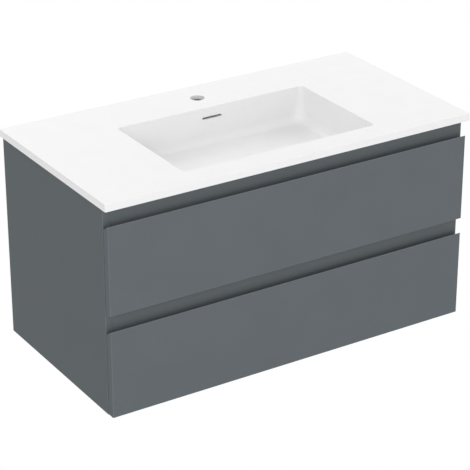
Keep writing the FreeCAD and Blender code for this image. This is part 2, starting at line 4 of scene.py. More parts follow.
import bmesh
import bpy
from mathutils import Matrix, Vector


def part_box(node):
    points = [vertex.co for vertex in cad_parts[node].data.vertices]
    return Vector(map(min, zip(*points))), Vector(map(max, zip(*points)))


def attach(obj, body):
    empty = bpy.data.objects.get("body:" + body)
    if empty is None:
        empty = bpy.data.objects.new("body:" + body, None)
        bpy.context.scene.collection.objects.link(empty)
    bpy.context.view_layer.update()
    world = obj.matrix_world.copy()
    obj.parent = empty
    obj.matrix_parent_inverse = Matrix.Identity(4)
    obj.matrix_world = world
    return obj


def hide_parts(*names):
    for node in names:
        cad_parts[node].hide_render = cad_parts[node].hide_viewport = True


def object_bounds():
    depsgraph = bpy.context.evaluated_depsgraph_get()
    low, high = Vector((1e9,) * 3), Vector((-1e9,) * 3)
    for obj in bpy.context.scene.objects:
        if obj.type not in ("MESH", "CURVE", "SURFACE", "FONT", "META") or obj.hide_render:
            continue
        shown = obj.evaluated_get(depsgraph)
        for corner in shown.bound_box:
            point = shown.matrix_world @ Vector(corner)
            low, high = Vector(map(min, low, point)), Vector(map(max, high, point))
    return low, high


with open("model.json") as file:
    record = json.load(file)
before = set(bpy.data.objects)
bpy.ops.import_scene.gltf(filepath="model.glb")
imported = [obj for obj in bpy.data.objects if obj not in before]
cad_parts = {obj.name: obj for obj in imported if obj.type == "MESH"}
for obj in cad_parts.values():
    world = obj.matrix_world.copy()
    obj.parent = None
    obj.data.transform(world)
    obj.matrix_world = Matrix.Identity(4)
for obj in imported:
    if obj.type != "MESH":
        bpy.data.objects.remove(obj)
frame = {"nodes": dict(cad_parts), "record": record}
nodes = frame["nodes"]
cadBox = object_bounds()
mm = 0.001
slotOf = {entry["node"]: entry["material_slot"] for entry in frame["record"]["subparts"]}
bodyOf = {}
for body, members in frame["record"]["behaviour"]["bodies"].items():
    for member in members:
        bodyOf[member] = body
print("frame loaded:", len(nodes), "nodes")


def toLinear(hexText):
    # sRGB hex to the linear values that Blender's colour sockets take
    linear = []
    for i in (1, 3, 5):
        level = int(hexText[i:i + 2], 16) / 255
        linear.append(level / 12.92 if level <= 0.04045 else ((level + 0.055) / 1.055) ** 2.4)
    return linear + [1.0]


def addNode(tree, kind, settings=None, links=None):
    # settings are the node's own properties or, by name or number, its input sockets
    node = tree.nodes.new(kind)
    for key, value in (settings or {}).items():
        if isinstance(key, str) and hasattr(node, key):
            setattr(node, key, value)
        else:
            node.inputs[key].default_value = value
    for key, source in (links or {}).items():
        sockets = source if isinstance(source, list) else [source]
        for socket in sockets:
            tree.links.new(socket, node.inputs[key])
    return node


# Materials. Every pattern is laid out in object space, at its real size.

def newMaterial(name, shader):
    # shader holds the Principled sockets that stay constant over the surface
    mat = bpy.data.materials.new(name)
    mat.use_nodes = True
    tree = mat.node_tree
    tree.nodes.clear()
    bsdf = addNode(tree, "ShaderNodeBsdfPrincipled", shader)
    addNode(tree, "ShaderNodeOutputMaterial", links={"Surface": bsdf.outputs["BSDF"]})
    coords = addNode(tree, "ShaderNodeTexCoord")
    return mat, tree, bsdf, coords.outputs["Object"]


noiseSpan = {
    "whole": (0.0, 1.0),
    "middle": (0.3, 0.7),       # most of a noise's levels lie in here
    "narrow": (0.35, 0.65),     # a little more contrast
}


def colourBetween(tree, factor, look, span):
    # ramp from the look's dark colour to its light one, as factor crosses the span
    ramp = addNode(tree, "ShaderNodeValToRGB", links={"Fac": factor})
    first, last = ramp.color_ramp.elements
    first.position, last.position = noiseSpan[span]
    first.color, last.color = toLinear(look["dark"]), toLinear(look["light"])
    return ramp.outputs["Color"]


def valueBetween(tree, factor, low, high):
    # a plain number from low to high as factor goes from 0 to 1
    ranged = addNode(tree, "ShaderNodeMapRange", {"To Min": low, "To Max": high}, {"Value": factor})
    return ranged.outputs["Result"]


def addBump(tree, bsdf, height, depth):
    bump = addNode(tree, "ShaderNodeBump", {"Distance": depth}, {"Height": height})
    tree.links.new(bump.outputs["Normal"], bsdf.inputs["Normal"])


def nearEdge(tree, look):
    # 0 on a flat face, rising to 1 beside an edge, where a rounded normal would lean over; this masks
    # the painted edge highlight
    rounded = addNode(tree, "ShaderNodeBevel", {"samples": look["samples"], "Radius": look["width"]})
    actual = addNode(tree, "ShaderNodeNewGeometry")
    agree = addNode(tree, "ShaderNodeVectorMath", {"operation": "DOT_PRODUCT"},
                    {0: rounded.outputs["Normal"], 1: actual.outputs["Normal"]})
    lean = addNode(tree, "ShaderNodeMapRange",
                   {"From Min": look["flat"], "From Max": look["leaning"]},
                   {"Value": agree.outputs["Value"]})
    return lean.outputs["Result"]


lacquer = {
    "front": {"dark": "#5F6568", "light": "#61676B", "roughness": (0.66, 0.74)},
    "carcass": {"dark": "#5D6366", "light": "#5F6568", "roughness": (0.68, 0.76)},
    "ior": 1.45,
    "specular": 0.2,            # deep matt topcoat, so little mirror-like sheen
    "cloudSize": 120 * mm,      # slow drift in the film's shade
    "peelSize": 2.5 * mm,       # spacing of the sprayed film's waves
    "peelDepth": 0.012 * mm,
}
paintedEdgeHighlight = {                # painted highlight: the lacquer is painted a little lighter along every edge, standing in for light caught by the rounded edges
    "colour": "#7C8387",
    "width": 1.8 * mm,
    "samples": 6,
    "flat": 0.998,              # how well the two normals agree on a flat face,
    "leaning": 0.94,            # and right at the edge
}


def sprayedLacquer(name, look):
    # deep-matt polyurethane lacquer sprayed on MDF: an even grey with a faint orange peel, painted
    # lighter along its edges as a highlight
    mat, tree, bsdf, place = newMaterial(
        name, {"IOR": lacquer["ior"], "Specular IOR Level": lacquer["specular"]})
    clouds = addNode(tree, "ShaderNodeTexNoise",
                     {"Scale": 1 / lacquer["cloudSize"], "Detail": 3.0}, {"Vector": place})
    shade = colourBetween(tree, clouds.outputs["Fac"], look, "narrow")
    # the Mix node takes its factor at socket 0 and colours at 6 and 7, and gives a colour at 2
    # painted highlight: a lighter grey mixed in along every edge, where a rounded edge would catch the
    # light
    withEdgeHighlight = addNode(tree, "ShaderNodeMix",
                    {"data_type": "RGBA", 7: toLinear(paintedEdgeHighlight["colour"])},
                    {0: nearEdge(tree, paintedEdgeHighlight), 6: shade})
    tree.links.new(withEdgeHighlight.outputs[2], bsdf.inputs["Base Color"])
    gloss = valueBetween(tree, clouds.outputs["Fac"], *look["roughness"])
    tree.links.new(gloss, bsdf.inputs["Roughness"])
    peel = addNode(tree, "ShaderNodeTexNoise",
                   {"Scale": 1 / lacquer["peelSize"], "Detail": 1.0}, {"Vector": place})
    addBump(tree, bsdf, peel.outputs["Fac"], lacquer["peelDepth"])
    return mat


mineral = {
    "dark": "#EDEDED",
    "light": "#EFEFEF",
    "ior": 1.5,
    "roughness": (0.44, 0.52),
    "wearSize": 60 * mm,        # patches polished a little more or less by hand
    "grainSize": 0.6 * mm,      # coarser than the real filler, so that it shows up close
    "grainDepth": 0.004 * mm,
}


def mineralCast():
    # marble dust and resin under a matt gel coat: dense white with soft, wide highlights
    mat, tree, bsdf, place = newMaterial("mattMineralCast", {"IOR": mineral["ior"]})
    wear = addNode(tree, "ShaderNodeTexNoise",
                   {"Scale": 1 / mineral["wearSize"], "Detail": 4.0}, {"Vector": place})
    shade = colourBetween(tree, wear.outputs["Fac"], mineral, "middle")
    tree.links.new(shade, bsdf.inputs["Base Color"])
    gloss = valueBetween(tree, wear.outputs["Fac"], *mineral["roughness"])
    tree.links.new(gloss, bsdf.inputs["Roughness"])
    grain = addNode(tree, "ShaderNodeTexNoise",
                    {"Scale": 1 / mineral["grainSize"], "Detail": 0.0}, {"Vector": place})
    addBump(tree, bsdf, grain.outputs["Fac"], mineral["grainDepth"])
    return mat


board = {
    "dark": "#4E5255",
    "light": "#64686A",
    "roughness": 0.55,
    "threadSize": 1.6 * mm,     # the print's spacing, coarser than the real one so that it shows
    "contrast": 0.17,           # how much darker the hollows between the threads are
    "drift": (0.40, 0.60),      # how far the shade wanders between the threads
    "threadDepth": 0.06 * mm,
    "blotchSize": 20 * mm,
}


def wovenBoard():
    # melamine-faced chipboard with a pressed linen print: crossed threads and a low sheen
    mat, tree, bsdf, place = newMaterial("linenMelamineBoard", {"Roughness": board["roughness"]})
    split = addNode(tree, "ShaderNodeSeparateXYZ", links={"Vector": place})
    across = addNode(tree, "ShaderNodeMath", {"operation": "ADD"},
                     {0: split.outputs["X"], 1: split.outputs["Z"]})
    turnsPerMetre = 2 * math.pi / board["threadSize"]
    threads = []
    for run in (across.outputs["Value"], split.outputs["Y"]):
        turns = addNode(tree, "ShaderNodeMath", {"operation": "MULTIPLY", 1: turnsPerMetre}, {0: run})
        wave = addNode(tree, "ShaderNodeMath", {"operation": "SINE"}, {0: turns.outputs["Value"]})
        threads.append(wave.outputs["Value"])
    weave = addNode(tree, "ShaderNodeMath", {"operation": "ADD"}, {0: threads[0], 1: threads[1]})
    blotches = addNode(tree, "ShaderNodeTexNoise",
                       {"Scale": 1 / board["blotchSize"], "Detail": 6.0, "Roughness": 0.7},
                       {"Vector": place})
    drift = valueBetween(tree, blotches.outputs["Fac"], *board["drift"])
    mixed = addNode(tree, "ShaderNodeMath", {"operation": "MULTIPLY_ADD", 1: board["contrast"]},
                    {0: weave.outputs["Value"], 2: drift})
    shade = colourBetween(tree, mixed.outputs["Value"], board, "middle")
    tree.links.new(shade, bsdf.inputs["Base Color"])
    addBump(tree, bsdf, weave.outputs["Value"], board["threadDepth"])
    return mat


powder = {
    "dark": "#5F6568",
    "light": "#61676A",
    "roughness": 0.68,
    "grainsPerMetre": (300.0, 900.0, 900.0),    # longer along the profile, and coarser than real
    "grainDepth": 0.02 * mm,
}


def paintedProfile():
    # folded aluminium, powder coated to match the fronts: a fine texture, drawn out lengthways
    mat, tree, bsdf, place = newMaterial(
        "powderCoatedAluminium",
        {"Roughness": powder["roughness"], "Specular IOR Level": lacquer["specular"]})
    stretch = addNode(tree, "ShaderNodeMapping", {"Scale": powder["grainsPerMetre"]}, {"Vector": place})
    texture = addNode(tree, "ShaderNodeTexNoise", {"Scale": 1.0, "Detail": 2.0},
                      {"Vector": stretch.outputs["Vector"]})
    shade = colourBetween(tree, texture.outputs["Fac"], powder, "middle")
    tree.links.new(shade, bsdf.inputs["Base Color"])
    addBump(tree, bsdf, texture.outputs["Fac"], powder["grainDepth"])
    return mat


rolling = {
    "marksPerMetre": (1500.0, 20.0, 1500.0),    # fine lines along the strip, front to back
    "markDepth": 0.004 * mm,
}


def zincSteel(name, look):
    # cold-formed steel with a bright zinc coat: cloudy spangles and fine rolling marks
    mat, tree, bsdf, place = newMaterial(name, {"Metallic": 1.0})
    cells = addNode(tree, "ShaderNodeTexVoronoi", {"Scale": 1 / look["spangle"]}, {"Vector": place})
    shade = colourBetween(tree, cells.outputs["Color"], look, "whole")
    tree.links.new(shade, bsdf.inputs["Base Color"])
    stretch = addNode(tree, "ShaderNodeMapping", {"Scale": rolling["marksPerMetre"]}, {"Vector": place})
    marks = addNode(tree, "ShaderNodeTexNoise", {"Scale": 1.0, "Detail": 2.0},
                    {"Vector": stretch.outputs["Vector"]})
    gloss = valueBetween(tree, marks.outputs["Fac"], *look["roughness"])
    tree.links.new(gloss, bsdf.inputs["Roughness"])
    addBump(tree, bsdf, marks.outputs["Fac"], rolling["markDepth"])
    return mat


mould = {
    "flowSize": 12 * mm,        # streaks where the melt ran a little lighter or darker
    "sparkDepth": 0.02 * mm,
}


def mouldedPart(name, look):
    # injection moulded: faint flow streaks and the mould's fine spark-eroded grain
    mat, tree, bsdf, place = newMaterial(name, {"Roughness": look["roughness"]})
    flow = addNode(tree, "ShaderNodeTexNoise", {"Scale": 1 / mould["flowSize"], "Detail": 2.0},
                   {"Vector": place})
    shade = colourBetween(tree, flow.outputs["Fac"], look, "narrow")
    tree.links.new(shade, bsdf.inputs["Base Color"])
    spark = addNode(tree, "ShaderNodeTexNoise", {"Scale": 1 / look["grain"], "Detail": 2.0},
                    {"Vector": place})
    addBump(tree, bsdf, spark.outputs["Fac"], mould["sparkDepth"])
    return mat


chrome = {
    "dark": "#C6C9CC",
    "light": "#D0D2D5",
    "roughness": (0.05, 0.11),
    "wipeSize": 4 * mm,
}


def polishedChrome():
    # bright chrome on brass: mirror-like, with a trace of fine wiping marks
    mat, tree, bsdf, place = newMaterial("polishedChrome", {"Metallic": 1.0})
    wipes = addNode(tree, "ShaderNodeTexNoise", {"Scale": 1 / chrome["wipeSize"], "Detail": 3.0},
                    {"Vector": place})
    shade = colourBetween(tree, wipes.outputs["Fac"], chrome, "middle")
    tree.links.new(shade, bsdf.inputs["Base Color"])
    gloss = valueBetween(tree, wipes.outputs["Fac"], *chrome["roughness"])
    tree.links.new(gloss, bsdf.inputs["Roughness"])
    return mat


silicone = {
    "dark": "#D6D9D9",
    "light": "#E0E2E2",
    "roughness": 0.25,
    "clearness": 0.5,
    "hazeSize": 1 * mm,
    "hazeDepth": 0.01 * mm,
}


def siliconeDot():
    # clear silicone bumper, slightly cloudy
    mat, tree, bsdf, place = newMaterial(
        "clearSilicone",
        {"Roughness": silicone["roughness"], "Transmission Weight": silicone["clearness"]})
    haze = addNode(tree, "ShaderNodeTexNoise", {"Scale": 1 / silicone["hazeSize"]}, {"Vector": place})
    shade = colourBetween(tree, haze.outputs["Fac"], silicone, "middle")
    tree.links.new(shade, bsdf.inputs["Base Color"])
    addBump(tree, bsdf, haze.outputs["Fac"], silicone["hazeDepth"])
    return mat


beech = {
    "dark": "#B98F63",
    "light": "#D9B98C",
    "roughness": 0.6,
    "flecksPerMetre": (150.0, 1800.0, 1800.0),
    "fleckDepth": 0.02 * mm,
}


def turnedBeech():
    # turned beech: pale, with short darker flecks along the grain, which runs across the cabinet
    mat, tree, bsdf, place = newMaterial("turnedBeech", {"Roughness": beech["roughness"]})
    stretch = addNode(tree, "ShaderNodeMapping", {"Scale": beech["flecksPerMetre"]}, {"Vector": place})
    grain = addNode(tree, "ShaderNodeTexNoise", {"Scale": 1.0, "Detail": 4.0},
                    {"Vector": stretch.outputs["Vector"]})
    shade = colourBetween(tree, grain.outputs["Fac"], beech, "narrow")
    tree.links.new(shade, bsdf.inputs["Base Color"])
    addBump(tree, bsdf, grain.outputs["Fac"], beech["fleckDepth"])
    return mat


zinc = {
    "dieCast": {"dark": "#8E8F90", "light": "#A8A9AA", "spangle": 1.5 * mm, "roughness": (0.38, 0.52)},
    "sheet": {"dark": "#A6A8A9", "light": "#C2C4C5", "spangle": 6.0 * mm, "roughness": (0.28, 0.42)},
    "screw": {"dark": "#A2A3A2", "light": "#BABBB9", "spangle": 2.0 * mm, "roughness": (0.22, 0.34)},
    "runner": {"dark": "#9FA1A2", "light": "#B9BBBC", "spangle": 5.0 * mm, "roughness": (0.26, 0.40)},
}
moulded = {
    "nut": {"dark": "#222324", "light": "#282A2B", "roughness": 0.5, "grain": 0.8 * mm},
    "seal": {"dark": "#191919", "light": "#1F1F1F", "roughness": 0.7, "grain": 0.5 * mm},
    "clip": {"dark": "#595D60", "light": "#606467", "roughness": 0.45, "grain": 0.8 * mm},
    "roller": {"dark": "#D9D5C9", "light": "#E2DFD6", "roughness": 0.4, "grain": 0.8 * mm},
}
finishes = {
    "front_lacquer": sprayedLacquer("mattLacquerFront", lacquer["front"]),
    "carcass_lacquer": sprayedLacquer("mattLacquerCarcass", lacquer["carcass"]),
    "drawer_board": wovenBoard(),
    "profile_metal": paintedProfile(),
    "dowel_beech": turnedBeech(),
    "cam_zinc": zincSteel("dieCastZinc", zinc["dieCast"]),
    "plated_steel": zincSteel("galvanisedSheet", zinc["sheet"]),
    "fastener_steel": zincSteel("zincPlatedScrew", zinc["screw"]),
    "bumper_silicone": siliconeDot(),
    "basin_mineral": mineralCast(),
    "chrome_brass": polishedChrome(),
    "nut_plastic": mouldedPart("blackNylon", moulded["nut"]),
    "seal_rubber": mouldedPart("blackRubber", moulded["seal"]),
    "clip_plastic": mouldedPart("greyAcetal", moulded["clip"]),
    "roller_nylon": mouldedPart("naturalNylon", moulded["roller"]),
    "runner_steel": zincSteel("rolledZincSteel", zinc["runner"]),
}
for name, obj in nodes.items():
    obj.data.materials.clear()
    obj.data.materials.append(finishes[slotOf[name]])
print("materials:", len(finishes))


# Shared ways of making a piece

merging = {
    "gap": 0.002 * mm,          # corners nearer than this become one
    "flatWithin": 1.0,          # degrees; faces that meet flatter than this become one
}


def pieceName(node):
    # upper_left_cabinet_rail becomes upperLeftCabinetRail
    first, *others = node.split("_")
    return first + "".join(word.title() for word in others)


def addPiece(name, mesh, node, sharpAngle):
    # a finished piece that stands for one CAD node, on that node's body and in its finish
    mesh.materials.clear()
    mesh.materials.append(finishes[slotOf[node]])
    mesh.polygons.foreach_set("use_smooth", [True] * len(mesh.polygons))
    mesh.set_sharp_from_angle(angle=math.radians(sharpAngle))
    piece = bpy.data.objects.new(name, mesh)
    bpy.context.scene.collection.objects.link(piece)
    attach(piece, bodyOf[node])
    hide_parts(node)
    return piece


def mergedCopy(node):
    # the CAD node's loose triangles, joined up and with flat faces made whole again
    shape = bmesh.new()
    shape.from_mesh(nodes[node].data)
    bmesh.ops.remove_doubles(shape, verts=shape.verts, dist=merging["gap"])
    bmesh.ops.dissolve_limit(shape, angle_limit=math.radians(merging["flatWithin"]),
                             verts=shape.verts, edges=shape.edges)
    return shape


def turnOutwards(mesh):
    # joins doubled corners, then makes every face look out of its closed shell
    shape = bmesh.new()
    shape.from_mesh(mesh)
    bmesh.ops.remove_doubles(shape, verts=shape.verts, dist=merging["gap"] / 2)
    bmesh.ops.recalc_face_normals(shape, faces=shape.faces)
    shape.to_mesh(mesh)
    shape.free()


def solidBoxes(node):
    # lowest and highest corner of each separate solid in a CAD node
    shape = mergedCopy(node)
    waiting = set(shape.verts)
    boxes = []
    while waiting:
        reached = [waiting.pop()]
        points = []
        while reached:
            vert = reached.pop()
            points.append(vert.co.copy())
            beside = [edge.other_vert(vert) for edge in vert.link_edges]
            fresh = [other for other in beside if other in waiting]
            waiting.difference_update(fresh)
            reached.extend(fresh)
        low = Vector([min(point[axis] for point in points) for axis in range(3)])
        high = Vector([max(point[axis] for point in points) for axis in range(3)])
        boxes.append((low, high))
    shape.free()
    return sorted(boxes, key=lambda pair: tuple(pair[0]))


def newTree(name, inputs):
    # geometry in and out, and one named input for each size
    tree = bpy.data.node_groups.new(name, "GeometryNodeTree")
    tree.interface.new_socket("Geometry", in_out="INPUT", socket_type="NodeSocketGeometry")
    for label, kind in inputs.items():
        tree.interface.new_socket(label, in_out="INPUT", socket_type="NodeSocket" + kind)
    tree.interface.new_socket("Geometry", in_out="OUTPUT", socket_type="NodeSocketGeometry")
    return tree, addNode(tree, "NodeGroupInput").outputs


def closeTree(tree, geometry, material):
    # real geometry with its finish, which is what an export keeps
    real = addNode(tree, "GeometryNodeRealizeInstances", links={"Geometry": geometry})
    coated = addNode(tree, "GeometryNodeSetMaterial", links={"Geometry": real.outputs["Geometry"],
                                                             "Material": material})
    addNode(tree, "NodeGroupOutput", links={"Geometry": coated.outputs["Geometry"]})


def finishedMesh(holder):
    # what the holder's modifiers make, as a plain mesh; the holder itself goes
    depsgraph = bpy.context.evaluated_depsgraph_get()
    made = bpy.data.meshes.new_from_object(holder.evaluated_get(depsgraph))
    bpy.data.objects.remove(holder)
    return made


def addHolder(name, mesh):
    holder = bpy.data.objects.new(name, mesh)
    bpy.context.scene.collection.objects.link(holder)
    return holder


def runTree(tree, mesh, values):
    # runs a tree on a mesh; every input is set before the first evaluation
    holder = addHolder("holder", mesh)
    modifier = holder.modifiers.new("tree", "NODES")
    modifier.node_group = tree
    for item in tree.interface.items_tree:
        if item.in_out == "INPUT" and item.name in values:
            modifier[item.identifier] = values[item.name]
    return finishedMesh(holder)


# Fasteners: one tree makes every screw, cam and adjuster, each head turned to face its own way

fastenerSides = 40              # corners round a head or shank


def buildFastenerTree():
    tree, given = newTree("fasteners", {
        "Head Radius": "Float", "Crown Radius": "Float", "Head Height": "Float",
        "Shank Radius": "Float", "Shank Length": "Float",
        "Slot Width": "Float", "Slot Length": "Float", "Cross Length": "Float", "Slot Depth": "Float",
        "Material": "Material"})
    head = addNode(tree, "GeometryNodeMeshCone", {"Vertices": fastenerSides}, {
        "Radius Top": given["Crown Radius"], "Radius Bottom": given["Head Radius"],
        "Depth": given["Head Height"]})
    downwards = addNode(tree, "ShaderNodeMath", {"operation": "MULTIPLY", 1: -0.5},
                        {0: given["Shank Length"]})
    shankPlace = addNode(tree, "ShaderNodeCombineXYZ", links={"Z": downwards.outputs["Value"]})
    shank = addNode(tree, "GeometryNodeMeshCylinder", {"Vertices": fastenerSides}, {
        "Radius": given["Shank Radius"], "Depth": given["Shank Length"]})
    lowered = addNode(tree, "GeometryNodeTransform", links={
        "Geometry": shank.outputs["Mesh"], "Translation": shankPlace.outputs["Vector"]})
    twiceDepth = addNode(tree, "ShaderNodeMath", {"operation": "MULTIPLY", 1: 2.0},
                         {0: given["Slot Depth"]})
    slotPlace = addNode(tree, "ShaderNodeCombineXYZ", links={"Z": given["Head Height"]})
    bars = []
    for long, wide in (("Slot Length", "Slot Width"), ("Slot Width", "Cross Length")):
        size = addNode(tree, "ShaderNodeCombineXYZ", links={
            "X": given[long], "Y": given[wide], "Z": twiceDepth.outputs["Value"]})
        bar = addNode(tree, "GeometryNodeMeshCube", links={"Size": size.outputs["Vector"]})
        raised = addNode(tree, "GeometryNodeTransform", links={
            "Geometry": bar.outputs["Mesh"], "Translation": slotPlace.outputs["Vector"]})
        bars.append(raised.outputs["Geometry"])
    whole = addNode(tree, "GeometryNodeMeshBoolean", {"operation": "UNION", "solver": "EXACT"}, {
        "Mesh 2": [head.outputs["Mesh"], lowered.outputs["Geometry"]]})
    driven = addNode(tree, "GeometryNodeMeshBoolean", {"operation": "DIFFERENCE", "solver": "EXACT"}, {
        "Mesh 1": whole.outputs["Mesh"], "Mesh 2": bars})
    facing = addNode(tree, "GeometryNodeInputNamedAttribute",
                     {"data_type": "FLOAT_VECTOR", "Name": "facing"})
    turned = addNode(tree, "FunctionNodeAlignRotationToVector", {"axis": "Z"},
                     {"Vector": facing.outputs["Attribute"]})
    placed = addNode(tree, "GeometryNodeInstanceOnPoints", links={
        "Points": given["Geometry"], "Instance": driven.outputs["Mesh"],
        "Rotation": turned.outputs["Rotation"]})
    closeTree(tree, placed.outputs["Instances"], given["Material"])
    return tree


def facingOf(rule, low, high):
    # the way that a head looks: up, to the front, or towards the middle of the cabinet
    if rule == "up":
        return Vector((0, 0, 1))
    if rule == "front":
        return Vector((0, -1, 0))
    return Vector((-1 if low.x + high.x > 0 else 1, 0, 0))


def makeFasteners(name, node, look):
    # one fastener where each of the node's solids is; those of one node are equally long
    seats = []
    ways = []
    for low, high in solidBoxes(node):
        facing = facingOf(look["faces"], low, high)
        length = abs(facing.dot(high - low))
        seats.append((low + high) / 2 + facing * (length / 2 - look["headHeight"]))
        ways.append(facing)
    mesh = bpy.data.meshes.new(name)
    mesh.from_pydata(seats, [], [])
    facings = mesh.attributes.new("facing", "FLOAT_VECTOR", "POINT")
    for index, way in enumerate(ways):
        facings.data[index].vector = way
    made = runTree(fastenerTree, mesh, {
        "Head Radius": look["headRadius"], "Crown Radius": look["crownRadius"],
        "Head Height": look["headHeight"], "Shank Radius": look["shankRadius"],
        "Shank Length": length - look["headHeight"],
        "Slot Width": look["slotWidth"], "Slot Length": look["slotLength"],
        "Cross Length": look["crossLength"], "Slot Depth": look["slotDepth"],
        "Material": finishes[slotOf[node]]})
    addPiece(name, made, node, look["sharp"])
    return len(seats)


fastenerTree = buildFastenerTree()
screwLook = {
    "faces": "middle", "headRadius": 3.6 * mm, "crownRadius": 2.9 * mm, "headHeight": 1.2 * mm,
    "shankRadius": 1.75 * mm,
    "slotWidth": 0.8 * mm, "slotLength": 3.6 * mm, "crossLength": 3.6 * mm,
    "slotDepth": 0.9 * mm, "sharp": 35.0,
}
camLook = {
    "faces": "middle", "headRadius": 7.5 * mm, "crownRadius": 7.1 * mm, "headHeight": 0.5 * mm,
    "shankRadius": 7.2 * mm,
    "slotWidth": 1.3 * mm, "slotLength": 8.0 * mm, "crossLength": 6.0 * mm,
    "slotDepth": 0.45 * mm, "sharp": 35.0,
}
adjusterLook = {
    "faces": "front", "headRadius": 5.0 * mm, "crownRadius": 4.5 * mm, "headHeight": 3.0 * mm,
    "shankRadius": 3.0 * mm,
    "slotWidth": 1.2 * mm, "slotLength": 7.0 * mm, "crossLength": 7.0 * mm,
    "slotDepth": 1.5 * mm, "sharp": 35.0,
}
count = makeFasteners("railScrews", "rail_screws", screwLook)
count += makeFasteners("bracketScrews", "bracket_screws", screwLook)
count += makeFasteners("floorCams", "cam_fittings", {**camLook, "faces": "up"})
count += makeFasteners("upperFrontCams", "upper_front_cams", camLook)
count += makeFasteners("lowerFrontCams", "lower_front_cams", camLook)
count += makeFasteners("hangerAdjusters", "hanger_adjusters", adjusterLook)
print("fasteners:", count)


# Folded metal: one tree bends a strip's section and draws it out lengthways

def buildStripTree():
    tree, given = newTree("foldedStrip", {
        "Bend Radius": "Float", "Bend Steps": "Int", "Run": "Vector", "Material": "Material"})
    line = addNode(tree, "GeometryNodeMeshToCurve", links={"Mesh": given["Geometry"]})
    bent = addNode(tree, "GeometryNodeFilletCurve", {"mode": "POLY"}, {
        "Curve": line.outputs["Curve"], "Radius": given["Bend Radius"], "Count": given["Bend Steps"]})
    edge = addNode(tree, "GeometryNodeCurveToMesh", links={"Curve": bent.outputs["Curve"]})
    drawn = addNode(tree, "GeometryNodeExtrudeMesh", {"mode": "EDGES", "Offset Scale": 1.0}, {
        "Mesh": edge.outputs["Mesh"], "Offset": given["Run"]})
    closeTree(tree, drawn.outputs["Mesh"], given["Material"])
    return tree


def foldStrip(name, node, section, run, look):
    # section is the strip's middle line at one end; Solidify gives the sheet its thickness
    line = bpy.data.meshes.new(name)
    line.from_pydata(section, [(i, i + 1) for i in range(len(section) - 1)], [])
    made = runTree(stripTree, line, {
        "Bend Radius": look["bend"], "Bend Steps": look["steps"], "Run": run,
        "Material": finishes[slotOf[node]]})
    holder = addHolder(name, made)
    thick = holder.modifiers.new("sheet", "SOLIDIFY")
    thick.thickness = look["sheet"]
    thick.offset = 0.0
    thick.use_even_offset = True
    solid = finishedMesh(holder)
    turnOutwards(solid)
    return solid


stripTree = buildStripTree()
profileLook = {"sheet": 1.5 * mm, "bend": 2.25 * mm, "steps": 8, "sharp": 20.0}
profileNodes = {
    "upperRecessProfile": "recess_profile_upper",       # an L: web and lower flange
    "middleRecessProfile": "recess_profile_middle",     # a U: web between two flanges
}
for name, node in profileNodes.items():
    low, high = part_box(node)
    half = profileLook["sheet"] / 2
    front = low.y + half
    section = [(low.x, high.y, low.z + half), (low.x, front, low.z + half), (low.x, front, high.z)]
    if name == "middleRecessProfile":
        section[-1:] = [(low.x, front, high.z - half), (low.x, high.y, high.z - half)]
    folded = foldStrip(name, node, section, (high.x - low.x, 0, 0), profileLook)
    addPiece(name, folded, node, profileLook["sharp"])
print("recess profiles folded")


# Runners: the rail on the side panel has a row of punched slots, the cap under the drawer is plain

slotSides = 24                  # corners round a slot's two ends together


def buildSlotTree():
    tree, given = newTree("slotRow", {
        "Start": "Vector", "Pitch": "Vector", "Count": "Int", "Width": "Float", "Length": "Float",
        "Depth": "Float", "Material": "Material"})
    places = addNode(tree, "GeometryNodeMeshLine", {"mode": "OFFSET"}, {
        "Count": given["Count"], "Start Location": given["Start"], "Offset": given["Pitch"]})
    half = addNode(tree, "ShaderNodeMath", {"operation": "MULTIPLY", 1: 0.5}, {0: given["Width"]})
    endRound = addNode(tree, "GeometryNodeMeshCylinder", {"Vertices": slotSides}, {
        "Radius": half.outputs["Value"], "Depth": given["Depth"]})
    halfStraight = addNode(tree, "ShaderNodeMath", {"operation": "SUBTRACT"}, {
        0: given["Length"], 1: given["Width"]})
    ends = []
    for side in (-0.5, 0.5):
        shift = addNode(tree, "ShaderNodeMath", {"operation": "MULTIPLY", 1: side},
                        {0: halfStraight.outputs["Value"]})
        move = addNode(tree, "ShaderNodeCombineXYZ", links={"X": shift.outputs["Value"]})
        end = addNode(tree, "GeometryNodeTransform", links={
            "Geometry": endRound.outputs["Mesh"], "Translation": move.outputs["Vector"]})
        ends.append(end.outputs["Geometry"])
    both = addNode(tree, "GeometryNodeJoinGeometry", links={"Geometry": ends})
    capsule = addNode(tree, "GeometryNodeConvexHull", links={"Geometry": both.outputs["Geometry"]})
    # lying along the rail, with its axis across the sheet
    upright = addNode(tree, "GeometryNodeTransform", {"Rotation": (math.pi / 2, 0.0, math.pi / 2)},
                      {"Geometry": capsule.outputs["Convex Hull"]})
    punches = addNode(tree, "GeometryNodeInstanceOnPoints", links={
        "Points": places.outputs["Mesh"], "Instance": upright.outputs["Geometry"]})
    loose = addNode(tree, "GeometryNodeRealizeInstances",
                    links={"Geometry": punches.outputs["Instances"]})
    punched = addNode(tree, "GeometryNodeMeshBoolean", {"operation": "DIFFERENCE", "solver": "EXACT"}, {
        "Mesh 1": given["Geometry"], "Mesh 2": loose.outputs["Geometry"]})
    closeTree(tree, punched.outputs["Mesh"], given["Material"])
    return tree


def punchSlots(mesh, node, look, start, spacing):
    # a row of round-ended slots through the upright leg of a folded rail
    return runTree(slotTree, mesh, {
        "Start": start, "Pitch": (0.0, spacing, 0.0), "Count": look["slots"],
        "Width": look["slotWidth"], "Length": look["slotLength"], "Depth": look["punch"],
        "Material": finishes[slotOf[node]]})


slotTree = buildSlotTree()
runnerLook = {
    "sheet": 1.5 * mm, "bend": 1.9 * mm, "steps": 6, "lip": 8.0 * mm, "sharp": 25.0,
    "slots": 7, "slotWidth": 5.0 * mm, "slotLength": 14.0 * mm, "slotRise": 20.0 * mm,
    "punch": 6.0 * mm,
}


